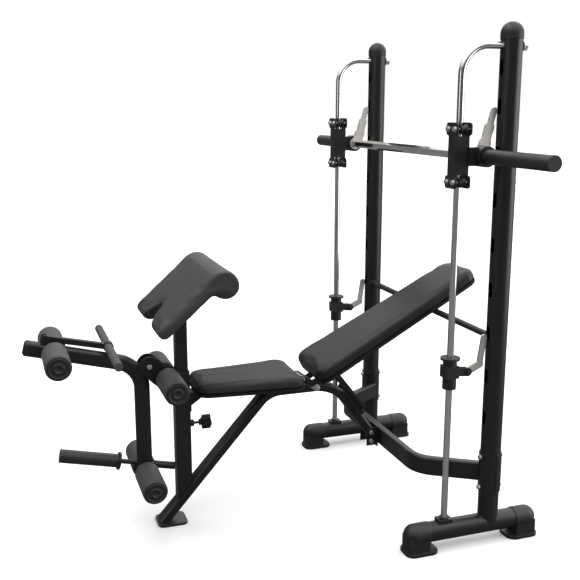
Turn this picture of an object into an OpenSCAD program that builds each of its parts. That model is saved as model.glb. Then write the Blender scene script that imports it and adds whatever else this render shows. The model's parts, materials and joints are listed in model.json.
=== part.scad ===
// Adjustable weight bench with a guided barbell rack.
// X runs across the bench, Y from the leg lever to the uprights, Z up from the floor.
// Inside place() the Y of every shape is measured from the plane of the uprights.

/* [Rack] */
// Height of the uprights without their caps
upright_h = 1790; // [1770:1:1800]
// Distance between the two uprights, centre to centre
upright_span = 1040; // [1036:1:1044]
// Outer diameter of the uprights
upright_d = 73; // [72.5:0.1:73.2]
// Wall of the round tubes
tube_wall = 3; // [2:0.5:4]
// Outer diameter of the foot tubes
foot_d = 72; // [70:1:73]
// Height of the foot tubes' centre
foot_z = 67; // [66:1:68]
// Width of the slots in the uprights
slot_w = 22; // [20:1:24]
// Length of each slot
slot_len = 54; // [50:1:56]
// Distance from slot to slot
slot_pitch = 155; // [150:1:156]
// Number of slots in the regular row
slot_count = 8; // [6:1:8]

/* [Guides and bar] */
// Diameter of the chrome guide rods
rod_d = 23; // [22.9:0.01:23]
// Distance of the guide rods in front of the uprights
rod_y = 181; // [181:1:182]
// Height of the bar
bar_z = 1397; // [1395:1:1400]
// Distance of the bar in front of the uprights
bar_y = 101; // [100:1:102]
// Diameter of the plate sleeves
sleeve_d = 49; // [48:0.5:50]
// Length of each plate sleeve
sleeve_len = 357; // [330:1:380]
// Height of the middle of the carriages
carriage_z = 1400; // [1399:1:1401]
// Thickness of the flat hooks
hook_t = 8; // [7:0.5:8]

/* [Bench] */
// Width of the main bench tube
beam_w = 60; // [56:1:60]
// Depth of the main bench tube
beam_h = 36; // [34:1:36]
// Height of the level part of the bench tube
beam_z = 479.5; // [478:0.5:480]
// Angle of the sloping front part of the bench tube
slope_a = 48.3; // [48:0.1:48.6]
// Angle at which the rear part of the bench tube comes down
arch_a = 54; // [53.8:0.1:54.2]
// Height of the seat's top
seat_top = 565; // [563:1:567]
// Thickness of the back cushion with its board
back_t = 60; // [58:1:60]
// Angle of the backrest
back_a = 28; // [28:0.1:28.2]
// Length of the backrest
back_len = 775; // [760:1:780]
// Side of the square front post
post_w = 57; // [56:1:58]
// Side of the square post that carries the arm pad
arm_post_w = 45; // [44:1:46]
// Slope of the arm pad
arm_pad_a = 41.7; // [41:0.1:42]
// Half the width of the arm pad
arm_pad_x = 230; // [220:1:240]

/* [Leg lever] */
// Diameter of the foam rollers
foam_d = 90; // [84:1:92]
// Reach of the foam rollers to each side
foam_reach = 210; // [200:1:220]
// Width of the lever's tube
lever_w = 40; // [38:1:40]
// Depth of the lever's tube
lever_h = 57; // [55:1:57]
// Diameter of the weight peg's sleeve
peg_d = 50; // [48:0.5:50]
// Reach of the curl grip to each side
grip_reach = 270; // [240:1:280]

/* [Hidden] */
$fn = 48;
steel_black = [0.10, 0.10, 0.11];
plastic_black = [0.16, 0.16, 0.17];
vinyl = [0.22, 0.21, 0.22];
foam_grey = [0.26, 0.26, 0.28];
bright = [0.78, 0.79, 0.80];
up_y = 690;
ux = upright_span / 2;
up_r = upright_d / 2;
foot_r = foot_d / 2;
rod_r = rod_d / 2;
fit = 0.06;
gap = 0.3;
bolt_r = 5;
post_y = -1016;
post_top = 590;
seat_y0 = -975;
seat_y1 = -560;
corner_y = -403;
arch_r = 170;
arch_cy = corner_y - arch_r * tan(arch_a / 2);
arch_cz = beam_z - arch_r;
nose_y = -679;
nose_r = 110;
nose_t = nose_r * tan(slope_a / 2);
slope_len = 640;
hinge_y = -546;
hinge_z = 526;
hinge_bolt_y = -484;
back_y = -260;
back_z = 717;
back_low = -305;
prop_y = -406.2;
prop_z = 533.5;
prop_foot_y = -284;
prop_foot_z = 376;
lever_y = -1162.5;
lever_bend_r = 110;
lever_rise = 14.5;
lever_turn = 90 - lever_rise;
lever_bend_z = 546;
lever_low_z = 196;
lever_top_len = 334;
pivot_y = -1136;
pivot_z = 629;
arm_y = -1040;
arm_z = 903;
arm_post_y = -1015;
roll_r = 55;
roll_u = 143;
slab_t = 52;
rail_x = 34.6;
rail_t = 4;
curl_y = -1495;
curl_z = 764;
grip_y = -1278;
grip_z = 714;
peg_a = 13.1;
peg_y = -1468;
peg_z = 320;
peg_len = 211;
low_roller = [-1160, 220];
top_roller = [-1467, 710];
post_roller = [-1072, 578];
knob_z = 385;
stop_z = 600;
stop_pin = [-113, 654];
wheel_x = 21.5;
wheel_r = 16;
wheel_w = 24;
foot_front = -337;
foot_rear = 196;
cap_r = 38.5;
cap_len = 92;

// ---- placing and basic shapes ----
module place() translate([0, up_y, 0]) children();

module pair() {
    children();
    mirror([1, 0, 0]) children();
}

// A rod along X
module rod_x(x0, x1, p, r, fn = 48)
    translate([x0, p[0], p[1]]) rotate([0, 90, 0]) cylinder(h = x1 - x0, r = r, $fn = fn);

// A rod along Y
module rod_y(x, y0, y1, z, r, fn = 48)
    translate([x, y0, z]) rotate([-90, 0, 0]) cylinder(h = y1 - y0, r = r, $fn = fn);

// A flat outline in Y and Z, drawn t thick along X from x0
module flat(x0, t) translate([x0, 0, 0]) rotate([90, 0, 90]) linear_extrude(height = t) children();

function polar(a, r) = [r * cos(a), r * sin(a)];

// A strip w wide from p to q with round ends
module strip(p, q, w) {
    a = atan2(q[1] - p[1], q[0] - p[0]);
    polygon(concat(
        [for (k = [0 : 14]) p + polar(a + 90 + k * 180 / 14, w / 2)],
        [for (k = [0 : 14]) q + polar(a - 90 + k * 180 / 14, w / 2)]
    ));
}

// A rectangle about the origin with round corners
module round_rect(w, h, r) {
    square([w - 2 * r, h], center = true);
    square([w, h - 2 * r], center = true);
    for (i = [-1, 1], j = [-1, 1])
        translate([i * (w / 2 - r), j * (h / 2 - r)]) circle(r = r, $fn = 32);
}

// The wall of such a rectangle
module round_ring(w, h, r, wall) difference() {
    round_rect(w, h, r);
    round_rect(w - 2 * wall, h - 2 * wall, max(r - wall, 0.5));
}

// A section drawn from p for length len at angle a in the Y-Z plane; its x is up, its y is X
module run(p, a, len) translate([0, p[0], p[1]]) rotate([90, 0, 90]) rotate([0, 0, a])
    rotate([90, 0, 90]) linear_extrude(height = len) children();

// The same section turned about the point c in the Y-Z plane
module turn(c, r, a0, da) translate([0, c[0], c[1]]) rotate([90, 0, 90]) rotate([0, 0, a0])
    rotate_extrude(angle = da, $fn = 96) translate([r, 0]) children();

// A point on the backrest: u along it, v out of it
function on_back(u, v) = [back_y, back_z] + polar(back_a, u) + polar(back_a + 90, v);
module back_frame_axes() translate([0, back_y, back_z]) rotate([back_a, 0, 0]) children();
module arm_pad_axes() translate([0, arm_y, arm_z]) rotate([arm_pad_a, 0, 0]) children();

// ---- rack ----
module upright_solid(r = up_r) translate([ux, 0, 0]) cylinder(h = upright_h, r = r, $fn = 64);

module slot(z) translate([ux - slot_w / 2, -up_r - 5, 0]) {
    translate([0, 0, z - slot_len / 2 + slot_w / 2]) cube([slot_w, up_r + 5, slot_len - slot_w]);
    for (s = [-1, 1])
        translate([slot_w / 2, 0, z + s * (slot_len - slot_w) / 2])
            rotate([-90, 0, 0]) cylinder(h = up_r + 5, d = slot_w, $fn = 32);
}

module saddle_bolt_holes(r) for (z = [210, 325]) rod_y(ux, -60, 60, z, r, 24);

module rack_sides() color(steel_black) place() pair() difference() {
    union() {
        translate([ux, 0, foot_z]) cylinder(h = upright_h - foot_z, r = up_r, $fn = 64);
        rod_y(ux, foot_front + cap_len, foot_rear - cap_len, foot_z, foot_r, 64);
    }
    translate([ux, 0, foot_z + foot_r]) cylinder(h = upright_h, r = up_r - tube_wall, $fn = 64);
    rod_y(ux, foot_front, foot_rear, foot_z, foot_r - tube_wall, 64);
    slot(1682);
    for (k = [0 : slot_count - 1]) slot(1558 - k * slot_pitch);
    rod_y(ux, -60, 60, rod_top, rod_r + fit);
    saddle_bolt_holes(bolt_r + 0.2);
}

module upright_caps() color(plastic_black) place() pair() translate([ux, 0, 0]) difference() {
    union() {
        translate([0, 0, upright_h]) sphere(r = up_r + 1.7, $fn = 48);
        translate([0, 0, upright_h - 18]) cylinder(h = 18, r = up_r + 1.7);
    }
    translate([0, 0, upright_h - 60]) cylinder(h = 60, r = up_r + 0.05, $fn = 64);
}

// A domed cap from its open face inward along +Y, with its flat shoe
module foot_cap() {
    rod_y(0, 0, cap_len - cap_r, foot_z, cap_r);
    translate([0, cap_len - cap_r, foot_z]) sphere(r = cap_r, $fn = 48);
    translate([-34, 4, 5]) cube([68, 78, foot_z - 10]);
    translate([0, 32, 0]) linear_extrude(height = 10) round_rect(94, 124, 30);
}

module foot_caps() color(plastic_black) place() pair() {
    translate([ux, foot_rear - cap_len, 0]) foot_cap();
    translate([ux, foot_front + cap_len, 0]) mirror([0, 1, 0]) foot_cap();
}

rod_top = 1752;
rod_bend = 95;
shoe_top = 118;

module guide_rods() color(bright) place() pair() {
    translate([ux, -rod_y, shoe_top - 12]) cylinder(h = rod_top - rod_bend - shoe_top + 12, r = rod_r);
    translate([ux, 0, 0]) turn([-rod_y + rod_bend, rod_top - rod_bend], rod_bend, 90, 90)
        circle(r = rod_r);
    rod_y(ux, -rod_y + rod_bend, up_r + 11, rod_top, rod_r);
}

module rod_shoes() color(steel_black) place() pair() difference() {
    translate([ux, -rod_y, 0]) {
        translate([-20, -26, foot_z + 20]) cube([40, 52, shoe_top - foot_z - 26]);
        translate([0, 0, foot_z + 20]) cylinder(h = shoe_top - foot_z - 20, r = 17);
    }
    rod_y(ux, -rod_y - 60, -rod_y + 60, foot_z, foot_r, 64);
    translate([ux, -rod_y, shoe_top - 12]) cylinder(h = 20, r = rod_r);
}

// The nut behind an upright that holds its guide rod
module rod_nut() difference() {
    union() {
        rod_y(ux, up_r, up_r + 3, rod_top, 19);
        translate([ux, up_r + 3, rod_top]) rotate([-90, 0, 0]) cylinder(h = 14, r = 17, $fn = 6);
    }
    rod_y(ux, 0, up_r + 11, rod_top, rod_r);
}

brace_z = 766;
brace_y = -10;

module upper_brace() color(steel_black) place() difference() {
    union() {
        rod_x(-ux + 20, ux - 20, [brace_y, brace_z], 12);
        pair() rod_x(ux - 46, ux - 20, [brace_y, brace_z], 17);
    }
    pair() upright_solid();
}

cross_y = -207;
cross_x = 350;
cross_t = 31;
cross_h = 70;
cross_z = 252;
cross_r = 110;
cross_a = atan2(202, 134);
saddle_t = 4;
saddle_r = up_r + saddle_t;

module cross_section() round_ring(cross_t, cross_h, 8, 2.5);

// The straight ends of the cross tube, from along to along + len past the end of its bend
module cross_end(t, along, len) translate([cross_x - t, cross_y + cross_r, cross_z])
    rotate([0, 0, cross_a - 90]) translate([cross_r, along, 0]) rotate([-90, 0, 0])
        linear_extrude(height = len) children();

module cross_tube() color(steel_black) place() {
    t = cross_r * tan(cross_a / 2);
    translate([-cross_x + t, cross_y, cross_z]) rotate([90, 0, 90])
        linear_extrude(height = 2 * (cross_x - t)) cross_section();
    pair() {
        translate([cross_x - t, cross_y + cross_r, cross_z]) rotate([0, 0, -90])
            rotate_extrude(angle = cross_a, $fn = 96) translate([cross_r, 0]) cross_section();
        cross_end(t, 0, 110) cross_section();
        difference() {
            cross_end(t, 110, 76) round_rect(cross_t, cross_h, 8);
            translate([ux, 0, 100]) cylinder(h = 300, r = saddle_r + 0.05, $fn = 64);
        }
    }
}

module saddle_plates() color(steel_black) place() pair() difference() {
    translate([ux, 0, 196]) cylinder(h = 144, r = saddle_r, $fn = 64);
    translate([ux, 0, 190]) cylinder(h = 160, r = up_r, $fn = 64);
    translate([ux - 60, -1.5, 190]) cube([120, 3, 160]);
    saddle_bolt_holes(bolt_r + 0.2);
}

module centre_bracket() color(steel_black) place() difference() {
    union() {
        translate([-44, cross_y - cross_t / 2 - 4, 206]) cube([88, 4, 84]);
        pair() translate([beam_w / 2, cross_y - cross_t / 2 - 44, 210]) cube([4, 42, 74]);
    }
    for (z = [228, 264]) rod_x(-60, 60, [-248, z], bolt_r + 0.2, 24);
}

// A hexagon head with its washer, from the surface outward along +Z
module bolt_head() {
    cylinder(h = 2, r = 9.5, $fn = 24);
    translate([0, 0, 2]) cylinder(h = 6, r = 8, $fn = 6);
}

// A bolt across the bench with a head at each end
module cross_bolt(p, half, r) {
    rod_x(-half, half, p, r);
    pair() translate([half, p[0], p[1]]) rotate([0, 90, 0]) bolt_head();
}

module frame_bolts() color(bright) place() {
    pair() {
        rod_nut();
        for (z = [210, 325]) {
            translate([ux, -saddle_r, z]) rotate([90, 0, 0]) bolt_head();
            translate([ux, saddle_r, z]) rotate([-90, 0, 0]) bolt_head();
            rod_y(ux, -saddle_r, saddle_r, z, bolt_r, 24);
        }
        for (z = [228, 264])
            translate([beam_w / 2 + 4, -248, z]) rotate([0, 90, 0]) bolt_head();
    }
    cross_bolt([hinge_bolt_y, beam_z], beam_w / 2 + 4.2, bolt_r);
    cross_bolt([pivot_y, pivot_z], lever_w / 2 + 6, 8);
}

// ---- bench ----
module beam_section() round_ring(beam_h, beam_w, 12, 2.5);

module beam_path() {
    run([nose_y, beam_z] - polar(slope_a, slope_len), slope_a, slope_len - nose_t) beam_section();
    turn([nose_y + nose_t, beam_z - nose_r], nose_r, 90, slope_a) beam_section();
    run([nose_y + nose_t, beam_z], 0, arch_cy - nose_y - nose_t) beam_section();
    turn([arch_cy, arch_cz], arch_r, 90 - arch_a, arch_a) beam_section();
    run([arch_cy, arch_cz] + polar(90 - arch_a, arch_r), -arch_a, 260) beam_section();
}

foot_plate_t = 8;
arch_end_y = cross_y - cross_t / 2 - 4;

module bench_tube() color(steel_black) place() {
    difference() {
        beam_path();
        translate([-50, -1300, -200]) cube([100, 400, 200 + foot_plate_t - 0.5]);
        translate([-50, arch_end_y, 0]) cube([100, 300, 600]);
        rod_x(-50, 50, [hinge_bolt_y, beam_z], bolt_r);
    }
    translate([0, -1068, 0]) linear_extrude(height = foot_plate_t) round_rect(104, 112, 22);
}

post_r = 5;

module front_post() color(steel_black) place() difference() {
    union() {
        translate([0, post_y, 60]) linear_extrude(height = post_top - 60)
            round_ring(post_w, post_w, post_r, 2.5);
        rod_y(0, post_y + post_w / 2 - 2, post_y + post_w / 2 + 15, knob_z, 13);
    }
    translate([0, nose_y, beam_z]) rotate([slope_a, 0, 0]) translate([-60, -700, -400])
        cube([120, 700, 400 + beam_h / 2]);
    rod_y(0, post_y, post_y + 60, knob_z, bolt_r + fit);
}

module post_bushing() color(plastic_black) place() translate([0, post_y, 0]) difference() {
    union() {
        translate([0, 0, post_top]) linear_extrude(height = 8) round_rect(post_w - 0.6, post_w - 0.6, 5);
        translate([0, 0, post_top - 60]) linear_extrude(height = 60)
            round_rect(post_w - 5, post_w - 5, 2.5);
    }
    translate([0, arm_post_y - post_y, post_top - 70]) linear_extrude(height = 90)
        round_rect(arm_post_w + 0.8, arm_post_w + 0.8, 4);
}

module locking_knob() color(plastic_black) place() {
    tip = arm_post_y + arm_post_w / 2 + 0.4;
    rod_y(0, tip, -944, knob_z, bolt_r);
    rod_y(0, -951, -940, knob_z, 12);
    difference() {
        rod_y(0, -940, -908, knob_z, 27);
        for (a = [0 : 90 : 270])
            translate([0, -941, knob_z]) rotate([0, a + 45, 0]) translate([0, 0, 34])
                rotate([-90, 0, 0]) cylinder(h = 40, r = 15);
    }
}

module seat_brackets() color(steel_black) place() {
    top = seat_top - 50;
    face = post_y + post_w / 2;
    translate([-25, face, 440]) cube([50, 4, top - 440]);
    translate([-25, face, top - 4]) cube([50, 110, 4]);
    difference() {
        flat(-2.5, 5) polygon([[face + 4, 452], [face + 4, top - 4], [face + 90, top - 4]]);
        translate([-30, face - 4, 380]) cube([60, 4, 60]);
    }
    low = beam_z + beam_h / 2;
    pair() flat(beam_w / 2 - 4, 4) polygon([[-624, low], [-660, top], [-572, top], [-580, low]]);
    translate([-70, -664, top - 3]) cube([140, 94, 3]);
}

// A cushion or board from z0 up, wider at one end, its upper edges eased by e
module pad_block(y0, y1, x0, x1, r0, r1, z0, z1, e) hull() {
    for (s = [-1, 1]) {
        translate([s * (x0 - r0), y0 + r0, z0]) cylinder(h = z1 - z0 - e, r = r0, $fn = 32);
        translate([s * (x1 - r1), y1 - r1, z0]) cylinder(h = z1 - z0 - e, r = r1, $fn = 32);
        if (e > 0) {
            translate([s * (x0 - r0), y0 + r0, z1 - e]) cylinder(h = e, r1 = r0, r2 = r0 - e, $fn = 32);
            translate([s * (x1 - r1), y1 - r1, z1 - e]) cylinder(h = e, r1 = r1, r2 = r1 - e, $fn = 32);
        }
    }
}

module seat_board() color([0.13, 0.12, 0.12]) place()
    pad_block(seat_y0 + 4, seat_y1 - 4, 114, 148, 46, 46, seat_top - 50, seat_top - 40, 0);

module seat_cushion() color(vinyl) place()
    pad_block(seat_y0, seat_y1, 118, 152, 50, 50, seat_top - 40, seat_top, 10);

module hinge_brackets() color(bright) place() difference() {
    pair() flat(beam_w / 2 + 0.2, 4) strip([hinge_bolt_y, beam_z], [hinge_y, hinge_z], 25);
    rod_x(-50, 50, [hinge_y, hinge_z], 6);
    rod_x(-50, 50, [hinge_bolt_y, beam_z], bolt_r);
}

ladder_a0 = 12;
ladder_step = 6;
ladder_teeth = 6;
ladder_r = 207;

module prop_ladder() color(steel_black) place() pair() flat(beam_w / 2 + 0.2, 4)
    translate([arch_cy, arch_cz]) polygon(concat(
        [polar(ladder_a0, ladder_r + 12)],
        [for (k = [0 : ladder_teeth - 1]) each [
            polar(ladder_a0 + 3.6 + k * ladder_step, ladder_r - (k == 0 ? -3 : 4)),
            polar(ladder_a0 + 7 + k * ladder_step, ladder_r - (k == 0 ? -3 : 4)),
            polar(ladder_a0 + 8.8 + k * ladder_step, ladder_r + (k > 3 ? -3 : 4)),
        ]],
        [for (a = [50 : -6 : 8]) polar(a, 176)]
    ));

module lever_clevis() color(steel_black) place() difference() {
    union() {
        pair() flat(lever_w / 2 + 1, 5) {
            strip([pivot_y, pivot_z], [post_y - post_w / 2 - 34, 574], 76);
            translate([post_y - post_w / 2 - 30, 520]) square([30, 70]);
        }
        translate([-lever_w / 2 - 1, post_y - post_w / 2 - 4, 520]) cube([lever_w + 2, 4, 70]);
    }
    rod_x(-50, 50, [pivot_y, pivot_z], 8);
    rod_x(-50, 50, post_roller, 10);
    translate([-60, post_y - post_w / 2, 400]) cube([120, 100, 400]);
}

module post_roller_rod() color(bright) place() rod_x(-foam_reach, foam_reach, post_roller, 10);

module roller_caps(p) pair() rod_x(foam_reach, foam_reach + 5, p, 36);

module post_roller_caps() color(plastic_black) place() roller_caps(post_roller);

// ---- backrest ----
module back_frame() color(steel_black) place() {
    elbow_p = on_back(-322, -back_t - 15);
    joint_p = on_back(-200, -back_t - 13);
    difference() {
        union() {
            pair() flat(rail_x, rail_t) {
                strip([hinge_y, hinge_z], elbow_p, 24);
                strip(elbow_p, joint_p, 25);
                strip(joint_p, on_back(190, -back_t - 13), 26);
                strip(joint_p, [prop_y, prop_z], 23);
            }
            for (u = [-170, 150])
                back_frame_axes() translate([-60, u, -back_t - 3]) cube([120, 40, 3]);
        }
        rod_x(-50, 50, [hinge_y, hinge_z], 6 - 0.1);
        rod_x(-50, 50, [prop_y, prop_z], bolt_r);
    }
}

module back_pivot_pin() color(bright) place() {
    rod_x(-rail_x - rail_t, rail_x + rail_t, [hinge_y, hinge_z], 5.9);
    pair() rod_x(rail_x + rail_t, rail_x + rail_t + 5, [hinge_y, hinge_z], 9);
}

module back_board() color([0.13, 0.12, 0.12]) place() back_frame_axes()
    pad_block(back_low + 6, back_low + back_len - 8, 142, 114, 44, 54, -back_t, -back_t + 12, 0);

module back_cushion() color(vinyl) place() back_frame_axes()
    pad_block(back_low, back_low + back_len, 148, 120, 50, 60, -back_t + 12, 0, 12);

strut_x = rail_x + rail_t + 0.6;

module prop_strut() color(steel_black) place() {
    pair() flat(strut_x, 5) strip([prop_y, prop_z], [prop_foot_y, prop_foot_z], 15);
    rod_x(-strut_x, strut_x, [prop_foot_y, prop_foot_z], bolt_r);
    pair() {
        rod_x(rail_x - 2, strut_x, [prop_y, prop_z], bolt_r - fit);
        rod_x(rail_x - 4, rail_x - 0.6, [prop_y, prop_z], 7);
    }
}

// ---- arm pad ----
module arm_post() color(steel_black) place() {
    difference() {
        translate([0, arm_post_y, 250]) linear_extrude(height = 700)
            round_ring(arm_post_w, arm_post_w, 4, 2.5);
        arm_pad_axes() translate([-60, -400, -slab_t - 6]) cube([120, 800, 400]);
        for (k = [0 : 5]) rod_y(0, arm_post_y, arm_post_y + 60, 335 + k * 50, bolt_r + 1, 24);
    }
    arm_pad_axes() translate([-90, -75, -slab_t - 6]) cube([180, 150, 6]);
}

module arm_pad() color(vinyl) place() arm_pad_axes() difference() {
    flat(-arm_pad_x, 2 * arm_pad_x) {
        translate([-150 + slab_t / 2, -slab_t]) square([roll_u + 150 - slab_t / 2, slab_t]);
        translate([-150 + slab_t / 2, -slab_t / 2]) circle(d = slab_t);
        translate([roll_u, -roll_r]) circle(r = roll_r);
    }
    translate([0, 0, -slab_t - 1]) linear_extrude(height = slab_t + 2) {
        translate([0, -88]) circle(r = 25, $fn = 32);
        polygon([[-25, -88], [25, -88], [85, -152], [-85, -152]]);
    }
}

// ---- leg lever ----
module lever_section(wall = 3) round_ring(lever_h, lever_w, 18, wall);

lever_centre = [lever_y - lever_bend_r, lever_bend_z];
lever_top0 = lever_centre + polar(lever_turn, lever_bend_r);
lever_tip = lever_top0 + polar(180 - lever_rise, lever_top_len - 12);

module leg_lever() color(steel_black) place() difference() {
    union() {
        difference() {
            union() {
                translate([0, lever_y, lever_low_z]) linear_extrude(height = lever_bend_z - lever_low_z)
                    rotate(90) round_rect(lever_h, lever_w, 18);
                turn(lever_centre, lever_bend_r, 0, lever_turn) round_rect(lever_h, lever_w, 18);
                run(lever_top0, 180 - lever_rise, lever_top_len - 12) round_rect(lever_h, lever_w, 18);
            }
            translate([0, lever_y, lever_low_z - 1]) linear_extrude(height = lever_bend_z - lever_low_z + 1)
                rotate(90) round_rect(lever_h - 6, lever_w - 6, 15);
            turn(lever_centre, lever_bend_r, 0, lever_turn) round_rect(lever_h - 6, lever_w - 6, 15);
            run(lever_top0, 180 - lever_rise, lever_top_len - 11) round_rect(lever_h - 6, lever_w - 6, 15);
        }
        difference() {
            rod_x(-lever_w / 2, lever_w / 2, [pivot_y, pivot_z], 22);
            turn(lever_centre, lever_bend_r, 0, lever_turn) round_rect(lever_h - 6, lever_w - 6, 15);
        }
        difference() {
            pair() flat(12, 4) strip([curl_y, curl_z], [curl_y - 6, curl_z - 26], 26);
            run(lever_top0, 180 - lever_rise, lever_top_len) round_rect(lever_h - 6, lever_w - 6, 15);
        }
    }
    rod_x(-50, 50, [pivot_y, pivot_z], 8 + fit);
    rod_x(-50, 50, [curl_y, curl_z], bolt_r + fit);
    rod_x(-50, 50, low_roller, 10);
    rod_x(-50, 50, top_roller, 10);
    peg_axes() rotate([-90, 0, 0]) cylinder(h = 500, r = 9);
}

// Plugs in the lever's two ends and the discs that keep its rollers on
module lever_caps() color(plastic_black) place() {
    translate([0, lever_tip[0], lever_tip[1]]) rotate([-lever_rise, 0, 0]) rotate([90, 0, 0]) {
        linear_extrude(height = 8) rotate(90) round_rect(lever_h, lever_w, 18);
        linear_extrude(height = 13) rotate(90) round_rect(lever_h - 10, lever_w - 10, 14);
    }
    translate([0, lever_y, lever_low_z - 6]) linear_extrude(height = 6)
        rotate(90) round_rect(lever_h, lever_w, 18);
    roller_caps(low_roller);
    roller_caps(top_roller);
}

module lever_roller_rods() color(bright) place() {
    rod_x(-foam_reach, foam_reach, low_roller, 10);
    rod_x(-foam_reach, foam_reach, top_roller, 10);
}

// The peg's own axes: its outer end at the origin and its length along +Y
module peg_axes() translate([0, peg_y, peg_z]) rotate([-peg_a, 0, 0]) children();

module weight_peg() color(steel_black) place() peg_axes() rotate([-90, 0, 0]) {
    translate([0, 0, 6]) cylinder(h = 345, r = 9);
    translate([0, 0, peg_len + 1]) cylinder(h = 8, r = 33);
    translate([0, 0, 351]) cylinder(h = 78, r = 14);
}

module peg_sleeve() color(plastic_black) place() peg_axes() rotate([-90, 0, 0]) difference() {
    cylinder(h = peg_len, d = peg_d);
    translate([0, 0, 6]) cylinder(h = peg_len, r = 9);
}

// One foam roller from x0 out to its cap
module foam(x0, p) color(foam_grey) place() difference() {
    rod_x(x0, foam_reach - gap, p, foam_d / 2);
    rod_x(0, foam_reach + 10, p, 10 + gap);
}

foam_in = 31;
module foam_post_right() foam(foam_in, post_roller);
module foam_post_left() mirror([1, 0, 0]) foam(foam_in, post_roller);
module foam_low_right() foam(lever_w / 2 + 4, low_roller);
module foam_low_left() mirror([1, 0, 0]) foam(lever_w / 2 + 4, low_roller);
module foam_top_right() foam(lever_w / 2 + 4, top_roller);
module foam_top_left() mirror([1, 0, 0]) foam(lever_w / 2 + 4, top_roller);

module curl_arm() color(steel_black) place() {
    difference() {
        union() {
            flat(-11, 22) strip([curl_y, curl_z], [grip_y, grip_z], 20);
            rod_x(-12, 12, [grip_y, grip_z], 19);
        }
        rod_x(-20, 20, [grip_y, grip_z], 11);
    }
    rod_x(-17, 17, [curl_y, curl_z], bolt_r);
    rod_x(-grip_reach + 4, grip_reach - 4, [grip_y, grip_z], 11);
}

module curl_grips() color(foam_grey) place() pair() difference() {
    rod_x(12, grip_reach, [grip_y, grip_z], 15);
    rod_x(0, grip_reach - 4, [grip_y, grip_z], 11);
}

// ---- carriages and bar ----
carriage_h = 215;
wheel_dz = 86;
arm_in = ux - 0.5;
plate_t = 4;
plate_y = 27.5;
bush_r = 24;
journal_r = 20;
axle_r = 4;

module carriage_outline() {
    round_rect(42, carriage_h - 20, 4);
    for (s = [-1, 1]) translate([0, s * wheel_dz]) round_rect(72, 42, 12);
}

module carriage_plate(y) translate([ux, y, carriage_z]) rotate([90, 0, 0])
    linear_extrude(height = plate_t) carriage_outline();

module carriages() color(steel_black) place() pair() difference() {
    union() {
        carriage_plate(-rod_y - plate_y + plate_t);
        carriage_plate(-rod_y + plate_y);
        translate([ux - 21, -rod_y - plate_y + plate_t, carriage_z - 62])
            cube([42, 2 * (plate_y - plate_t), 124]);
        translate([arm_in, -rod_y + plate_y - 1, bar_z - 30]) cube([30, rod_y - plate_y - bar_y - 20, 60]);
        rod_x(arm_in, ux + 50, [-bar_y, bar_z], 34.5, 64);
    }
    translate([ux, -rod_y, 1200]) cylinder(h = 400, r = 16);
    rod_x(ux - 20, ux + 60, [-bar_y, bar_z], bush_r, 64);
    for (i = [-1, 1], j = [-1, 1])
        rod_y(ux + i * wheel_x, -rod_y - 60, -rod_y + 60, carriage_z + j * wheel_dz, axle_r);
}

module collar_bushings() color(plastic_black) place() pair() difference() {
    rod_x(arm_in, ux + 50, [-bar_y, bar_z], bush_r, 64);
    rod_x(ux - 20, ux + 60, [-bar_y, bar_z], journal_r + fit, 64);
}

// A grooved wheel that runs on the rod: i is -1 on its inner side, j is 1 at the top
module guide_wheel(i, j) color(plastic_black) place()
    translate([ux + i * wheel_x, -rod_y, carriage_z + j * wheel_dz]) rotate([90, 0, 0])
        rotate_extrude($fn = 64) difference() {
            translate([axle_r + fit, -wheel_w / 2]) square([wheel_r - axle_r - fit, wheel_w]);
            translate([wheel_x, 0]) circle(r = rod_r + 0.1, $fn = 64);
        }

module wheel_right_top_inner() guide_wheel(-1, 1);
module wheel_right_top_outer() guide_wheel(1, 1);
module wheel_right_low_inner() guide_wheel(-1, -1);
module wheel_right_low_outer() guide_wheel(1, -1);
module wheel_left_top_inner() mirror([1, 0, 0]) guide_wheel(-1, 1);
module wheel_left_top_outer() mirror([1, 0, 0]) guide_wheel(1, 1);
module wheel_left_low_inner() mirror([1, 0, 0]) guide_wheel(-1, -1);
module wheel_left_low_outer() mirror([1, 0, 0]) guide_wheel(1, -1);

// The axle bolts of the wheels, with their nuts behind
module carriage_bolts() color(bright) place() pair() for (i = [-1, 1], j = [-1, 1])
    translate([ux + i * wheel_x, -rod_y, carriage_z + j * wheel_dz]) rotate([90, 0, 0]) {
        translate([0, 0, -plate_y]) cylinder(h = 2 * plate_y, r = axle_r);
        translate([0, 0, plate_y]) bolt_head();
        translate([0, 0, -plate_y]) mirror([0, 0, 1]) cylinder(h = 4, r = 7, $fn = 6);
    }

hook_x = ux - 9.5;

module bar() color(bright) place() {
    rod_x(-hook_x, hook_x, [-bar_y, bar_z], 17, 6);
    pair() {
        rod_x(hook_x - 1, arm_in, [-bar_y, bar_z], 14.5);
        rod_x(arm_in - 0.5, ux + 50, [-bar_y, bar_z], journal_r, 64);
        rod_x(ux + 49, ux + 45 + sleeve_len, [-bar_y, bar_z], journal_r - 2);
    }
}

module bar_hooks() color(bright) place() pair() difference() {
    flat(hook_x, hook_t) {
        translate([-bar_y, bar_z]) circle(r = 26);
        strip([-bar_y + 6, bar_z + 6], [-80, 1440], 44);
        strip([-80, 1440], [-66, 1492], 34);
        strip([-66, 1492], [-51, 1545], 21);
    }
    rod_x(0, ux, [-bar_y, bar_z], 14.5);
}

module bar_sleeves() color(plastic_black) place() pair() difference() {
    rod_x(ux + 50 + gap, ux + 50 + sleeve_len, [-bar_y, bar_z], sleeve_d / 2, 64);
    rod_x(ux, ux + 45 + sleeve_len, [-bar_y, bar_z], journal_r - 2);
}

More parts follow.
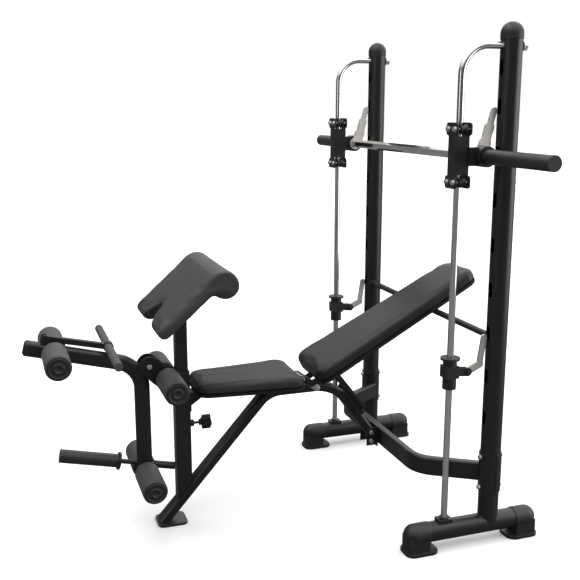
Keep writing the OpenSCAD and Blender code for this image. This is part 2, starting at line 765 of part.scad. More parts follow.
// ---- safety stops ----
module safety_stop() color(plastic_black) place() {
    difference() {
        union() {
            translate([ux, -rod_y, stop_z]) cylinder(h = 106, r = 24);
            translate([ux, -rod_y, stop_z + 104]) cylinder(h = 8, r = 34);
            translate([ux - 24.5, -rod_y - 24.5, stop_z + 40]) cube([49, 49, 43]);
            for (s = [-1, 1])
                flat(ux + s * 7 - 2.5, 5) strip(stop_pin, [-150, stop_pin[1] + 4], 30);
        }
        translate([ux, -rod_y, stop_z - 1]) cylinder(h = 140, r = rod_r + fit);
    }
    rod_x(ux - 13, ux + 13, stop_pin, bolt_r);
    for (s = [-1, 1]) translate([ux + s * 9.5, stop_pin[0], stop_pin[1]])
        rotate([0, s * 90, 0]) bolt_head();
}

module stop_right() safety_stop();
module stop_left() mirror([1, 0, 0]) safety_stop();

module stop_hook() color(bright) place() difference() {
    flat(ux - 4, hook_t) {
        strip(stop_pin, [-64, 677], 27);
        strip([-65, 676], [-51, 772], 21);
    }
    rod_x(ux - 20, ux + 20, stop_pin, bolt_r + fit);
}

module stop_hook_right() stop_hook();
module stop_hook_left() mirror([1, 0, 0]) stop_hook();

rack_sides();
upright_caps();
foot_caps();
guide_rods();
rod_shoes();
upper_brace();
cross_tube();
saddle_plates();
centre_bracket();
frame_bolts();
bench_tube();
front_post();
post_bushing();
locking_knob();
seat_brackets();
seat_board();
seat_cushion();
hinge_brackets();
prop_ladder();
lever_clevis();
post_roller_rod();
post_roller_caps();
back_frame();
back_board();
back_cushion();
back_pivot_pin();
prop_strut();
arm_post();
arm_pad();
leg_lever();
lever_caps();
lever_roller_rods();
weight_peg();
peg_sleeve();
foam_post_left();
foam_post_right();
foam_low_left();
foam_low_right();
foam_top_left();
foam_top_right();
curl_arm();
curl_grips();
carriages();
collar_bushings();
carriage_bolts();
wheel_left_top_inner();
wheel_left_top_outer();
wheel_left_low_inner();
wheel_left_low_outer();
wheel_right_top_inner();
wheel_right_top_outer();
wheel_right_low_inner();
wheel_right_low_outer();
bar();
bar_hooks();
bar_sleeves();
stop_left();
stop_right();
stop_hook_left();
stop_hook_right();
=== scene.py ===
"""Looks of the adjustable weight bench: finishes, upholstery, foam rollers, camera and light."""

from __future__ import annotations

import json
import logging
import math
from collections.abc import Callable
from dataclasses import dataclass, field
from enum import Enum

import bpy
from mathutils import Matrix, Vector

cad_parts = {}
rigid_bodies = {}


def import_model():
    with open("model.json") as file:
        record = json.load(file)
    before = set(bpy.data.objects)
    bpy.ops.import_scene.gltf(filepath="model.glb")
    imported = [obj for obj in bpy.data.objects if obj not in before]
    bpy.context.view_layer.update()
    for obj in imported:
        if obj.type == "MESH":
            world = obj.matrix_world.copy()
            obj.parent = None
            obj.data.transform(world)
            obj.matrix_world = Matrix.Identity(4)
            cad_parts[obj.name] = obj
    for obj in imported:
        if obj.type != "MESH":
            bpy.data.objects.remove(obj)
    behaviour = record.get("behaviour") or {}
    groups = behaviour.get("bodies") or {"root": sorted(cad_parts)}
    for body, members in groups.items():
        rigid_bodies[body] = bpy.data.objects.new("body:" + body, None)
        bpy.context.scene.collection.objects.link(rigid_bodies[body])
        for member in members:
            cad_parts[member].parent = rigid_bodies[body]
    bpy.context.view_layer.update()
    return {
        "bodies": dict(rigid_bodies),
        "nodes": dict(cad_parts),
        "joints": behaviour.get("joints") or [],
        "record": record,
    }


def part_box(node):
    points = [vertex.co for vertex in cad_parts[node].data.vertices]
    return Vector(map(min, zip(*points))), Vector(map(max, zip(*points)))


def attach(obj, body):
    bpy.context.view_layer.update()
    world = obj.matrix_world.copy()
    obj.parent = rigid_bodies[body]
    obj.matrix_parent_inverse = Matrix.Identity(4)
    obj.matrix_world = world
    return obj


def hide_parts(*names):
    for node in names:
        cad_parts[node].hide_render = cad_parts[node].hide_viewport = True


Ripple = Callable[[int, float], float]

LOG = logging.getLogger("weight_bench")
CREASE_STRETCH = (1.0, 0.035, 0.035)
CREASE_SCALE = 70.0
CREASE_DEPTH = 0.006
FINE_DEPTH = 0.0006
BEVEL_SAMPLES = 4
BRUSH_STRETCH = (1.0, 1.0, 0.04)
SHEEN_ROUGHNESS = 0.5
# How far the colour goes darker and lighter: random tone in blotches, and painted shade and
# highlight along creases.
TINT_LOW = 0.86
TINT_HIGH = 1.16
# How much lighter eased edges are painted: a painted highlight along the edges, together with edge
# wear.
EDGE_HIGHLIGHT_AND_WEAR_LIFT = 0.09
BLOTCH_SCALE = 14.0
# Edges of the bands of painted crease shade and highlight.
BAND_LIMITS = (0.30, 0.70)
EDGE_LIMITS = (0.995, 0.80)
GLOSS_SCALE = 37.0
SHARP_ANGLE = 32.0
HOLD_SLOPE = 1.6
HOLD_LEVEL = 0.25
SIM_FRAMES = 20
CLOTH_MASS = 0.3
CLOTH_PRESSURE = 4.0
CLOTH_STIFFNESS = 40.0
CLOTH_BENDING = 8.0
FOAM_SEGMENTS = 204
RING_SEGMENTS = 72
GATHERED_RINGS = 6
PLEAT_HEIGHT = 0.0011
FLOOR_REACH = 40.0
FLOOR_DROP = 0.0005
FLOOR_COLOR = (0.95, 0.95, 0.95, 1.0)
ROOM_COLOR = (1.0, 0.99, 0.985, 1.0)
CEILING_LIMITS = (0.18, 0.80)
OPEN_LIMITS = (0.20, 0.70)
LAMP_TARGET = (0.0, 0.1, 0.7)


class Side(Enum):
    """The two sides of the bench, as seen from the leg lever."""

    LEFT = -1
    RIGHT = 1


class Weave(Enum):
    """What a finish's fine relief looks like."""

    PEEL = "peel"
    GRAIN = "grain"
    CELLS = "cells"
    BRUSHED = "brushed"


@dataclass(frozen=True)
class Finish:
    """One finish of the bench, made as a procedural material.

    Attributes:
        name: the material's name.
        slot: the record's material slot.
        color: base colour, linear.
        roughness: middle roughness.
        metallic: 1 for bare metal, else 0.
        weave: the kind of fine relief.
        scale: how many of its cells there are in a metre.
        relief: strength of the fine relief.
        edge: radius to which sharp edges look eased, in metres.
        edge_highlight_and_wear: how much lighter the eased edges are: a painted highlight along the
            edges, together with edge wear.
        mottle: how far the roughness wanders.
        stripe: strength of the long soft creases along the bench; when set, the colour also carries
            bands of painted shade and highlight along the creases.
        sheen: strength of the dusty sheen at glancing angles.
        specular: strength of the plain reflection.
    """

    name: str
    slot: str
    color: tuple[float, float, float]
    roughness: float
    metallic: float = 0.0
    weave: Weave = Weave.PEEL
    scale: float = 900.0
    relief: float = 0.05
    edge: float = 0.0012
    edge_highlight_and_wear: float = 0.0
    mottle: float = 0.06
    stripe: float = 0.0
    sheen: float = 0.0
    specular: float = 0.5

    def material(self) -> bpy.types.Material:
        """Return the material, made on the first call.

        Returns:
            The finished node material.
        """
        found = bpy.data.materials.get(self.name)
        if found:
            return found
        made = bpy.data.materials.new(self.name)
        made.use_nodes = True
        made.diffuse_color = (*self.color, 1.0)
        tree = made.node_tree
        shader = tree.nodes["Principled BSDF"]
        shader.inputs["Metallic"].default_value = self.metallic
        shader.inputs["Specular IOR Level"].default_value = self.specular
        if self.sheen:
            shader.inputs["Sheen Weight"].default_value = self.sheen
            shader.inputs["Sheen Roughness"].default_value = SHEEN_ROUGHNESS
        place = tree.nodes.new("ShaderNodeTexCoord").outputs["Object"]
        normal = self._relief(tree, place)
        tree.links.new(normal, shader.inputs["Normal"])
        tree.links.new(self._tint(tree, place), shader.inputs["Base Color"])
        tree.links.new(self._gloss(tree, place), shader.inputs["Roughness"])
        return made

    def _noise(self, tree: bpy.types.NodeTree, place: bpy.types.NodeSocket, scale: float,
               detail: float = 3.0) -> bpy.types.NodeSocket:
        """Return a noise value at a scale.

        Args:
            tree: the material's node tree.
            place: the coordinates to read.
            scale: cells in a metre.
            detail: octaves of detail.

        Returns:
            The noise's factor output.
        """
        node = tree.nodes.new("ShaderNodeTexNoise")
        node.inputs["Scale"].default_value = scale
        node.inputs["Detail"].default_value = detail
        tree.links.new(place, node.inputs["Vector"])
        return node.outputs["Fac"]

    def _stretched(self, tree: bpy.types.NodeTree, place: bpy.types.NodeSocket,
                   stretch: tuple[float, float, float]) -> bpy.types.NodeSocket:
        """Return the coordinates scaled along each axis."""
        node = tree.nodes.new("ShaderNodeMapping")
        node.inputs["Scale"].default_value = stretch
        tree.links.new(place, node.inputs["Vector"])
        return node.outputs["Vector"]

    def _fine_height(self, tree: bpy.types.NodeTree,
                     place: bpy.types.NodeSocket) -> bpy.types.NodeSocket:
        """Return the height of the finish's fine relief."""
        if self.weave is Weave.BRUSHED:
            return self._noise(tree, self._stretched(tree, place, BRUSH_STRETCH), self.scale)
        if self.weave is Weave.PEEL:
            return self._noise(tree, place, self.scale)
        node = tree.nodes.new("ShaderNodeTexVoronoi")
        node.feature = "F1" if self.weave is Weave.CELLS else "SMOOTH_F1"
        node.inputs["Scale"].default_value = self.scale
        tree.links.new(place, node.inputs["Vector"])
        return node.outputs["Distance"]

    def _relief(self, tree: bpy.types.NodeTree,
                place: bpy.types.NodeSocket) -> bpy.types.NodeSocket:
        """Return the surface normal: eased edges, fine relief and long creases."""
        bevel = tree.nodes.new("ShaderNodeBevel")
        bevel.samples = BEVEL_SAMPLES
        bevel.inputs["Radius"].default_value = self.edge
        normal = bevel.outputs["Normal"]
        if self.stripe:
            along = self._stretched(tree, place, CREASE_STRETCH)
            creases = self._noise(tree, along, CREASE_SCALE, 1.0)
            normal = self._bump(tree, creases, normal, self.stripe, CREASE_DEPTH)
        return self._bump(tree, self._fine_height(tree, place), normal, self.relief, FINE_DEPTH)

    def _bump(self, tree: bpy.types.NodeTree, height: bpy.types.NodeSocket,
              normal: bpy.types.NodeSocket, strength: float, depth: float) -> bpy.types.NodeSocket:
        """Return the normal with one more layer of relief on it."""
        node = tree.nodes.new("ShaderNodeBump")
        node.inputs["Strength"].default_value = strength
        node.inputs["Distance"].default_value = depth
        tree.links.new(height, node.inputs["Height"])
        tree.links.new(normal, node.inputs["Normal"])
        return node.outputs["Normal"]

    def _tint(self, tree: bpy.types.NodeTree, place: bpy.types.NodeSocket) -> bpy.types.NodeSocket:
        """Return the base colour with soft variation, bands of painted shade and highlight along
        creases, and lighter edges: a painted highlight along the edges together with edge wear.
        """
        mix = tree.nodes.new("ShaderNodeMix")
        mix.data_type = "RGBA"
        mix.inputs["A"].default_value = (*[c * TINT_LOW for c in self.color], 1.0)
        mix.inputs["B"].default_value = (*[min(1.0, c * TINT_HIGH) for c in self.color], 1.0)
        tree.links.new(self._tone_and_crease_shade(tree, place), mix.inputs["Factor"])
        if not self.edge_highlight_and_wear:
            return mix.outputs["Result"]
        # Lighten the eased edges: a painted highlight along the edges, together with edge wear.
        highlighted_and_worn = tree.nodes.new("ShaderNodeMix")
        highlighted_and_worn.data_type = "RGBA"
        highlighted_and_worn.inputs["B"].default_value = (*[min(1.0, c + EDGE_HIGHLIGHT_AND_WEAR_LIFT) for c in self.color], 1.0)
        tree.links.new(mix.outputs["Result"], highlighted_and_worn.inputs["A"])
        tree.links.new(self._edge_mask(tree, place), highlighted_and_worn.inputs["Factor"])
        return highlighted_and_worn.outputs["Result"]

    def _tone_and_crease_shade(self, tree: bpy.types.NodeTree,
                  place: bpy.types.NodeSocket) -> bpy.types.NodeSocket:
        """Return where the colour is darker and lighter: in soft blotches of tone, or in bands of
        painted shade and highlight along the creases.
        """
        if not self.stripe:
            return self._noise(tree, place, BLOTCH_SCALE)
        # Painted shade in the creases' troughs and painted highlight on their crests, from the same
        # pattern as their relief.
        painted_crease_shade = self._noise(tree, self._stretched(tree, place, CREASE_STRETCH), CREASE_SCALE, 1.0)
        sharpen = tree.nodes.new("ShaderNodeMapRange")
        sharpen.inputs["From Min"].default_value = BAND_LIMITS[0]
        sharpen.inputs["From Max"].default_value = BAND_LIMITS[1]
        tree.links.new(painted_crease_shade, sharpen.inputs["Value"])
        return sharpen.outputs["Result"]

    def _edge_mask(self, tree: bpy.types.NodeTree,
                   place: bpy.types.NodeSocket) -> bpy.types.NodeSocket:
        """Return where edges are, from how far the eased normal leaves the true one, scaled to how
        much lighter they are painted: a painted highlight together with edge wear.
        """
        bevel = tree.nodes.new("ShaderNodeBevel")
        bevel.samples = BEVEL_SAMPLES
        bevel.inputs["Radius"].default_value = self.edge
        true = tree.nodes.new("ShaderNodeNewGeometry")
        dot = tree.nodes.new("ShaderNodeVectorMath")
        dot.operation = "DOT_PRODUCT"
        tree.links.new(bevel.outputs["Normal"], dot.inputs[0])
        tree.links.new(true.outputs["Normal"], dot.inputs[1])
        ramp = tree.nodes.new("ShaderNodeMapRange")
        ramp.inputs["From Min"].default_value = EDGE_LIMITS[0]
        ramp.inputs["From Max"].default_value = EDGE_LIMITS[1]
        ramp.inputs["To Min"].default_value = 0.0
        ramp.inputs["To Max"].default_value = self.edge_highlight_and_wear
        tree.links.new(dot.outputs["Value"], ramp.inputs["Value"])
        return ramp.outputs["Result"]

    def _gloss(self, tree: bpy.types.NodeTree, place: bpy.types.NodeSocket) -> bpy.types.NodeSocket:
        """Return the roughness, which wanders a little over the surface."""
        spread = tree.nodes.new("ShaderNodeMapRange")
        spread.inputs["To Min"].default_value = max(0.02, self.roughness - self.mottle)
        spread.inputs["To Max"].default_value = min(1.0, self.roughness + self.mottle)
        tree.links.new(self._noise(tree, place, GLOSS_SCALE), spread.inputs["Value"])
        return spread.outputs["Result"]


# Powder coat and cap mouldings get lighter edges: a painted highlight along the edges, together
# with edge wear.
POWDER_COAT = Finish("satin_powder_coat", "frame_paint", (0.010, 0.0094, 0.0096), 0.36,
                     scale=1400.0, relief=0.10, edge_highlight_and_wear=0.45, edge=0.0016)
CAP_PLASTIC = Finish("cap_moulding", "cap_plastic", (0.012, 0.0118, 0.012), 0.50,
                     weave=Weave.GRAIN, scale=1800.0, relief=0.12, edge_highlight_and_wear=0.3)
KNOB_PLASTIC = Finish("knob_moulding", "knob_plastic", (0.010, 0.0098, 0.010), 0.46,
                      weave=Weave.GRAIN, scale=1800.0, relief=0.10)
CHROME = Finish("chrome_plate", "chrome", (0.80, 0.79, 0.78), 0.09, metallic=1.0,
                weave=Weave.BRUSHED, scale=500.0, relief=0.006, mottle=0.03)
ZINC = Finish("zinc_plate", "zinc", (0.66, 0.64, 0.61), 0.46, metallic=1.0, scale=500.0,
              relief=0.06, mottle=0.10)
VINYL = Finish("upholstery_vinyl", "vinyl", (0.018, 0.0168, 0.0195), 0.34, weave=Weave.GRAIN,
               scale=1500.0, relief=0.22, edge=0.003, mottle=0.05, specular=0.26)
# The creased vinyls carry painted shade and highlight in bands along their creases.
CREASED_VINYL = Finish("creased_vinyl", "vinyl", (0.024, 0.0215, 0.022), 0.46,
                       weave=Weave.GRAIN, scale=1500.0, relief=0.22, edge=0.003, mottle=0.05,
                       stripe=0.9, specular=0.22)
PALE_VINYL = Finish("creased_pale_vinyl", "vinyl", (0.043, 0.039, 0.041), 0.48,
                    weave=Weave.GRAIN, scale=1500.0, relief=0.22, edge=0.003, mottle=0.05,
                    stripe=1.0, specular=0.28)
BOARD = Finish("covered_board", "board", (0.008, 0.0075, 0.0075), 0.70, scale=700.0,
               relief=0.15, specular=0.3)
FOAM = Finish("roller_foam", "foam", (0.030, 0.029, 0.033), 0.62, weave=Weave.CELLS,
              scale=1300.0, relief=0.25, edge=0.003, sheen=0.08)
GRIP_RUBBER = Finish("grip_rubber", "grip_rubber", (0.075, 0.070, 0.080), 0.60,
                     weave=Weave.CELLS, scale=1600.0, relief=0.20)
SLEEVE_PLASTIC = Finish("sleeve_moulding", "sleeve_plastic", (0.020, 0.019, 0.021), 0.42,
                        weave=Weave.GRAIN, scale=1500.0, relief=0.15)

FINISHES: dict[str, Finish] = {
    finish.slot: finish
    for finish in (POWDER_COAT, CAP_PLASTIC, KNOB_PLASTIC, CHROME, ZINC, VINYL, BOARD, FOAM,
                   GRIP_RUBBER, SLEEVE_PLASTIC)
}


def dress(piece: bpy.types.Object, finish: Finish) -> None:
    """Give a piece one finish in place of what it has.

    Args:
        piece: the mesh object.
        finish: the finish it takes.
    """
    piece.data.materials.clear()
    piece.data.materials.append(finish.material())


def mesh_piece(name: str, verts: list[Vector], faces: list[tuple[int, ...]],
               smooth: bool = True) -> bpy.types.Object:
    """Make a mesh object in the row frame.

    Args:
        name: the piece's name.
        verts: its points.
        faces: its faces, as indices into verts.
        smooth: whether the faces shade smoothly.

    Returns:
        The new object, linked to the scene.
    """
    mesh = bpy.data.meshes.new(name)
    mesh.from_pydata([tuple(v) for v in verts], [], faces)
    mesh.validate()
    mesh.polygons.foreach_set("use_smooth", [smooth] * len(mesh.polygons))
    piece = bpy.data.objects.new(name, mesh)
    bpy.context.scene.collection.objects.link(piece)
    return piece


def settle(piece: bpy.types.Object, body: str, finish: Finish) -> bpy.types.Object:
    """Finish a new piece: its finish and the body that it rides on.

    Args:
        piece: the new mesh object.
        body: the CAD body that carries it.
        finish: the finish it takes.

    Returns:
        The same piece.
    """
    dress(piece, finish)
    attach(piece, body)
    return piece


def turned(name: str, profile: list[tuple[float, float]], origin: Vector, axis: Vector,
           segments: int = 96, ripple: Ripple | None = None) -> bpy.types.Object:
    """Turn a profile round an axis.

    Args:
        name: the piece's name.
        profile: (distance along the axis, radius) pairs in metres, open or closed by radius 0.
        origin: where the axis starts.
        axis: its direction.
        segments: points in each ring.
        ripple: optional function of (ring, angle) that gives a change of radius.

    Returns:
        The new object.
    """
    spin = axis.normalized().to_track_quat("Z", "Y").to_matrix()
    verts: list[Vector] = []
    faces: list[tuple[int, ...]] = []
    for ring, (along, radius) in enumerate(profile):
        for k in range(segments):
            angle = 2 * math.pi * k / segments
            r = radius + (ripple(ring, angle) if ripple else 0.0)
            local = Vector((r * math.cos(angle), r * math.sin(angle), along))
            verts.append(origin + spin @ local)
    for ring in range(len(profile) - 1):
        for k in range(segments):
            a = ring * segments + k
            b = ring * segments + (k + 1) % segments
            faces.append((a, b, b + segments, a + segments))
    return mesh_piece(name, verts, faces)


@dataclass
class Frame:
    """The metal and plastic parts, which keep their CAD shape and take a finish."""

    loaded: dict

    def dress_all(self) -> int:
        """Give every CAD node the finish of its slot.

        Returns:
            How many nodes were dressed.
        """
        slots = {part["node"]: part["material_slot"] for part in self.loaded["record"]["subparts"]}
        for name, node in self.loaded["nodes"].items():
            dress(node, FINISHES[slots[name]])
            self._smooth(node)
        return len(self.loaded["nodes"])

    @staticmethod
    def _smooth(node: bpy.types.Object) -> None:
        """Shade a node's curved faces smoothly and leave its corners sharp."""
        node.data.polygons.foreach_set("use_smooth", [True] * len(node.data.polygons))
        node.data.set_sharp_from_angle(angle=math.radians(SHARP_ANGLE))


@dataclass
class Upholstery:
    """One padded cushion, swollen by cloth simulation from the room its CAD solid holds.

    Attributes:
        node: the CAD node that it replaces.
        body: the body that it rides on.
        finish: its covering.
        up: which way its top faces.
        voxel: size of its mesh, in metres.
        swell: how far a point may move, in metres.
        shrink: how far its walls start inside the CAD solid, in metres.
        ease: passes that round its edges.
        calm: passes that draw the blown-up cover tight.
    """

    node: str
    body: str
    finish: Finish
    up: Vector
    voxel: float = 0.006
    swell: float = 0.005
    shrink: float = 0.004
    ease: int = 10
    calm: int = 14

    def build(self) -> bpy.types.Object:
        """Make the cushion.

        Returns:
            The finished cushion.
        """
        source = bpy.data.objects[self.node]
        piece = bpy.data.objects.new(f"{self.node}_cover", source.data.copy())
        bpy.context.scene.collection.objects.link(piece)
        self._remesh(piece)
        start = [v.co.copy() for v in piece.data.vertices]
        self._inflate(piece, start)
        self._modifier(piece, "SUBSURF", levels=1, render_levels=1)
        piece.data.polygons.foreach_set("use_smooth", [True] * len(piece.data.polygons))
        piece.data.update()
        settle(piece, self.body, self.finish)
        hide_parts(self.node)
        return piece

    def _modifier(self, piece: bpy.types.Object, kind: str, **values: object) -> None:
        """Add a modifier and apply it at once."""
        made = piece.modifiers.new(kind.lower(), kind)
        for key, value in values.items():
            setattr(made, key, value)
        self._apply(piece, made)

    @staticmethod
    def _apply(piece: bpy.types.Object, made: bpy.types.Modifier) -> None:
        """Apply one modifier by taking the evaluated mesh."""
        graph = bpy.context.evaluated_depsgraph_get()
        graph.update()
        result = bpy.data.meshes.new_from_object(piece.evaluated_get(graph))
        piece.modifiers.remove(made)
        old = piece.data
        piece.data = result
        bpy.data.meshes.remove(old)

    def _remesh(self, piece: bpy.types.Object) -> None:
        """Rebuild the solid as even quads, draw its walls in and round its edges."""
        self._modifier(piece, "REMESH", mode="VOXEL", voxel_size=self.voxel)
        self._modifier(piece, "SMOOTH", factor=0.5, iterations=self.ease)
        normals = [vertex.normal.copy() for vertex in piece.data.vertices]
        for vertex, normal in zip(piece.data.vertices, normals):
            vertex.co = vertex.co - normal * self.shrink * self._free(normal)

    def _free(self, normal: Vector) -> float:
        """Return how free a point is to swell: 0 on the underside, 1 on the top and sides."""
        return min(1.0, max(0.0, 1.0 + HOLD_SLOPE * (normal.dot(self.up) + HOLD_LEVEL)))

    def _inflate(self, piece: bpy.types.Object, start: list[Vector]) -> None:
        """Blow the cover up as cloth, held along its underside, and cap how far it moves."""
        pins = piece.vertex_groups.new(name="stapled")
        for vertex in piece.data.vertices:
            hold = 1.0 - self._free(vertex.normal)
            if hold > 0.5:
                pins.add([vertex.index], 1.0, "REPLACE")
        cloth = piece.modifiers.new("cloth", "CLOTH")
        cloth.settings.quality = 4
        cloth.settings.mass = CLOTH_MASS
        cloth.settings.use_pressure = True
        cloth.settings.uniform_pressure_force = CLOTH_PRESSURE
        cloth.settings.effector_weights.gravity = 0.0
        cloth.settings.vertex_group_mass = pins.name
        cloth.settings.tension_stiffness = CLOTH_STIFFNESS
        cloth.settings.compression_stiffness = CLOTH_STIFFNESS
        cloth.settings.bending_stiffness = CLOTH_BENDING
        cloth.point_cache.frame_end = SIM_FRAMES
        scene = bpy.context.scene
        for frame in range(1, SIM_FRAMES + 1):
            scene.frame_set(frame)
        self._apply(piece, cloth)
        scene.frame_set(1)
        for vertex, first in zip(piece.data.vertices, start):
            moved = vertex.co - first
            if moved.length > self.swell:
                vertex.co = first + moved * (self.swell / moved.length)
        piece.vertex_groups.clear()
        self._modifier(piece, "SMOOTH", factor=0.5, iterations=self.calm)


@dataclass
class FoamRoller:
    """One foam roller: a foam tube with a gathered rim and a ringed end disc.

    Attributes:
        node: the CAD foam that it replaces.
        body: the body it spins with.
        disc_body: the body that holds its end disc.
        side: which side of the bench it is on.
        pleats: how many pleats its outer rim is gathered into.
        disc: radius where the gathered rim ends, just round the end disc, in metres.
    """

    node: str
    body: str
    disc_body: str
    side: Side
    pleats: int = 34
    disc: float = 0.036

    def build(self) -> None:
        """Make the foam and the rings of its end disc."""
        low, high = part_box(self.node)
        middle = (low + high) / 2
        radius = (high.z - low.z) / 2
        inner, outer = (low.x, high.x) if self.side is Side.RIGHT else (high.x, low.x)
        length = abs(outer - inner)
        axis = Vector((float(self.side.value), 0.0, 0.0))
        origin = Vector((inner, middle.y, middle.z))
        profile = self._profile(length, radius)
        first_gather = len(profile) - GATHERED_RINGS

        def ripple(ring: int, angle: float) -> float:
            """Return the pleats' height on the gathered rings."""
            if ring < first_gather:
                return 0.0
            deep = min(1.0, (ring - first_gather) / 3)
            wave = math.sin(self.pleats * angle + 0.8 * math.sin(3 * angle))
            return PLEAT_HEIGHT * deep * wave

        foam = turned(self.node + "_tube", profile, origin, axis, FOAM_SEGMENTS, ripple)
        settle(foam, self.body, FOAM)
        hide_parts(self.node)
        self._disc_rings(origin + axis * (length + 0.0003), axis)

    def _profile(self, length: float, radius: float) -> list[tuple[float, float]]:
        """Return the foam's outline: a soft inner end, a straight wall and a gathered outer end."""
        bore, soft, gather, drop = 0.0105, 0.010, 0.011, 0.008
        sweep = [math.pi * k / 12 for k in range(1, 7)]
        points = [(0.0, bore), (0.0, radius - soft)]
        points += [(soft * (1 - math.cos(t)), radius - soft + soft * math.sin(t)) for t in sweep]
        points += [(length * k / 8, radius) for k in range(1, 8)]
        points += [(length - gather + gather * math.sin(t), radius - drop * (1 - math.cos(t)))
                   for t in sweep]
        points += [(length - 0.0007, self.disc + 0.0005), (length - 0.0035, self.disc - 0.0015)]
        points += [(length - 0.004, bore)]
        return points

    def _disc_rings(self, origin: Vector, axis: Vector) -> None:
        """Make the raised rings moulded on the end disc."""
        rim, middle, rise, foot, crest = 0.0355, 0.0001, 0.0050, 0.0001, 0.0013
        profile: list[tuple[float, float]] = [(rise - 0.001, rim)]
        for radius, width in ((0.0335, 0.0030), (0.0150, 0.0020)):
            profile += [(rise + foot, radius + width / 2), (rise + crest, radius + width / 4),
                        (rise + crest, radius - width / 4), (rise + foot, radius - width / 2)]
        profile += [(rise + foot, middle)]
        rings = turned(self.node + "_disc_rings", profile, origin, axis, RING_SEGMENTS)
        settle(rings, self.disc_body, CAP_PLASTIC)


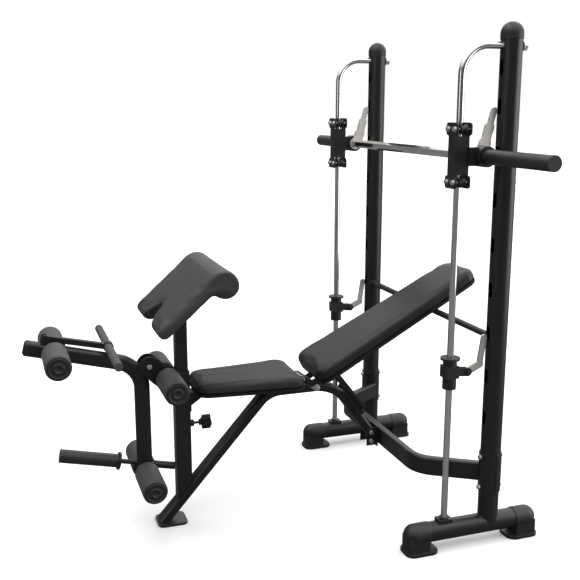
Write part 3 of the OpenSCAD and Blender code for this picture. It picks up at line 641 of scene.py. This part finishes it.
@dataclass
class Studio:
    """The floor, the light and the camera.

    Attributes:
        eye: where the camera stands.
        azimuth: the way it looks from, in degrees round the bench.
        elevation: how far it looks down, in degrees.
        lens: its focal length in millimetres on a 36 mm frame.
        walls: how bright the room's walls are.
        ceiling: how bright its ceiling is.
        backdrop: how bright the wall behind the uprights is.
        open_side: which way that wall lies.
        bounce: how much light the floor throws back up.
    """

    eye: Vector = field(default_factory=lambda: Vector((3.027, -0.948, 1.560)))
    azimuth: float = 70.82
    elevation: float = 12.11
    lens: float = 53.29
    walls: float = 0.10
    ceiling: float = 1.75
    backdrop: float = 0.85
    open_side: tuple[float, float, float] = (-0.303, 0.949, 0.0)
    bounce: float = 0.13

    def build(self) -> None:
        """Make the floor, the world, the lamps and the camera."""
        self._floor()
        self._world()
        self._lamp("side", Vector((2.2, 4.6, 1.3)), 3.2, 85.0)
        self._lamp("top", Vector((0.2, -0.6, 3.9)), 1.3, 20.0)
        self._lamp("front", Vector((2.4, -4.4, 2.2)), 1.6, 14.0)
        self._camera()
        bpy.context.scene.view_settings.view_transform = "Standard"

    def _floor(self) -> None:
        """Lay the floor: pale to the camera, and darker to the light that it throws back."""
        corners = [Vector((FLOOR_REACH * x, FLOOR_REACH * y, -FLOOR_DROP))
                   for x, y in ((-1, -1), (1, -1), (1, 1), (-1, 1))]
        floor = mesh_piece("floor", corners, [(0, 1, 2, 3)], smooth=False)
        material = bpy.data.materials.new("floor_paint")
        material.use_nodes = True
        tree = material.node_tree
        tree.nodes.clear()
        seen = tree.nodes.new("ShaderNodeBsdfDiffuse")
        seen.inputs["Color"].default_value = FLOOR_COLOR
        unseen = tree.nodes.new("ShaderNodeBsdfDiffuse")
        unseen.inputs["Color"].default_value = (*[self.bounce] * 3, 1.0)
        sight = tree.nodes.new("ShaderNodeLightPath")
        choose = tree.nodes.new("ShaderNodeMixShader")
        out = tree.nodes.new("ShaderNodeOutputMaterial")
        tree.links.new(sight.outputs["Is Camera Ray"], choose.inputs["Fac"])
        tree.links.new(unseen.outputs["BSDF"], choose.inputs[1])
        tree.links.new(seen.outputs["BSDF"], choose.inputs[2])
        tree.links.new(choose.outputs["Shader"], out.inputs["Surface"])
        floor.data.materials.append(material)

    def _world(self) -> None:
        """Make a room with dim walls and a bright ceiling and side; the camera sees it white."""
        world = bpy.data.worlds.new("studio")
        world.use_nodes = True
        tree = world.node_tree
        tree.nodes.clear()
        place = tree.nodes.new("ShaderNodeTexCoord")
        split = tree.nodes.new("ShaderNodeSeparateXYZ")
        rise = tree.nodes.new("ShaderNodeMapRange")
        rise.interpolation_type = "SMOOTHSTEP"
        rise.inputs["From Min"].default_value = CEILING_LIMITS[0]
        rise.inputs["From Max"].default_value = CEILING_LIMITS[1]
        rise.inputs["To Min"].default_value = self.walls
        rise.inputs["To Max"].default_value = self.ceiling
        room = tree.nodes.new("ShaderNodeBackground")
        plain = tree.nodes.new("ShaderNodeBackground")
        sight = tree.nodes.new("ShaderNodeLightPath")
        choose = tree.nodes.new("ShaderNodeMixShader")
        out = tree.nodes.new("ShaderNodeOutputWorld")
        tree.links.new(place.outputs["Generated"], split.inputs["Vector"])
        tree.links.new(split.outputs["Z"], rise.inputs["Value"])
        behind = tree.nodes.new("ShaderNodeVectorMath")
        behind.operation = "DOT_PRODUCT"
        behind.inputs[1].default_value = self.open_side
        glow = tree.nodes.new("ShaderNodeMapRange")
        glow.inputs["From Min"].default_value = OPEN_LIMITS[0]
        glow.inputs["From Max"].default_value = OPEN_LIMITS[1]
        glow.inputs["To Max"].default_value = self.backdrop
        total = tree.nodes.new("ShaderNodeMath")
        total.operation = "ADD"
        tree.links.new(place.outputs["Generated"], behind.inputs[0])
        tree.links.new(behind.outputs["Value"], glow.inputs["Value"])
        tree.links.new(rise.outputs["Result"], total.inputs[0])
        tree.links.new(glow.outputs["Result"], total.inputs[1])
        tree.links.new(total.outputs["Value"], room.inputs["Strength"])
        room.inputs["Color"].default_value = ROOM_COLOR
        plain.inputs["Color"].default_value = (1.0, 1.0, 1.0, 1.0)
        tree.links.new(sight.outputs["Is Camera Ray"], choose.inputs["Fac"])
        tree.links.new(room.outputs["Background"], choose.inputs[1])
        tree.links.new(plain.outputs["Background"], choose.inputs[2])
        tree.links.new(choose.outputs["Shader"], out.inputs["Surface"])
        bpy.context.scene.world = world

    def _lamp(self, name: str, at: Vector, size: float, power: float) -> None:
        """Hang one soft square lamp that faces the bench.

        Args:
            name: the lamp's name.
            at: where it hangs.
            size: the side of its square, in metres.
            power: its power in watts.
        """
        light = bpy.data.lights.new(name, "AREA")
        light.size = size
        light.energy = power
        lamp = bpy.data.objects.new(name, light)
        bpy.context.scene.collection.objects.link(lamp)
        aim = Vector(LAMP_TARGET) - at
        turn = aim.to_track_quat("-Z", "Y").to_matrix().to_4x4()
        lamp.matrix_world = Matrix.Translation(at) @ turn

    def _camera(self) -> None:
        """Set the camera at the viewing angle."""
        a, e = math.radians(self.azimuth), math.radians(self.elevation)
        back = Vector((math.sin(a) * math.cos(e), -math.cos(a) * math.cos(e), math.sin(e)))
        right = Vector((math.cos(a), math.sin(a), 0.0))
        up = back.cross(right)
        turn = Matrix((right, up, back)).transposed().to_4x4()
        data = bpy.data.cameras.new("camera")
        data.lens = self.lens
        data.sensor_width = 36.0
        data.clip_end = 100.0
        camera = bpy.data.objects.new("camera", data)
        bpy.context.scene.collection.objects.link(camera)
        camera.matrix_world = Matrix.Translation(self.eye) @ turn
        bpy.context.scene.camera = camera


def lean(angle: float) -> Vector:
    """Return the direction square to a slope that rises by angle degrees along +Y."""
    return Vector((0.0, -math.sin(math.radians(angle)), math.cos(math.radians(angle))))


def upholstery() -> list[Upholstery]:
    """Return the three cushions of the bench."""
    return [
        Upholstery("seat_cushion", "frame", CREASED_VINYL, lean(0.0), ease=12),
        Upholstery("back_cushion", "backrest", VINYL, lean(28.0), ease=18),
        Upholstery("arm_pad", "arm_rest", PALE_VINYL, lean(41.7), ease=22),
    ]


def rollers() -> list[FoamRoller]:
    """Return the six foam rollers of the bench."""
    holders = {"post": "frame", "low": "lever", "top": "lever"}
    return [
        FoamRoller(f"foam_{place}_{side.name.lower()}", f"foam_{place}_{side.name.lower()}",
                   holder, side)
        for place, holder in holders.items()
        for side in Side
    ]


def main() -> None:
    """Build the looks of the bench in order and report each piece."""
    logging.basicConfig(level=logging.INFO, format="%(asctime)s %(name)s: %(message)s")
    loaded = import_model()
    LOG.info("dressed %d frame nodes", Frame(loaded).dress_all())
    for cushion in upholstery():
        LOG.info("made %s", cushion.build().name)
    for roller in rollers():
        roller.build()
        LOG.info("made %s", roller.node)
    Studio().build()
    LOG.info("made the studio")


if __name__ == "__main__":
    main()
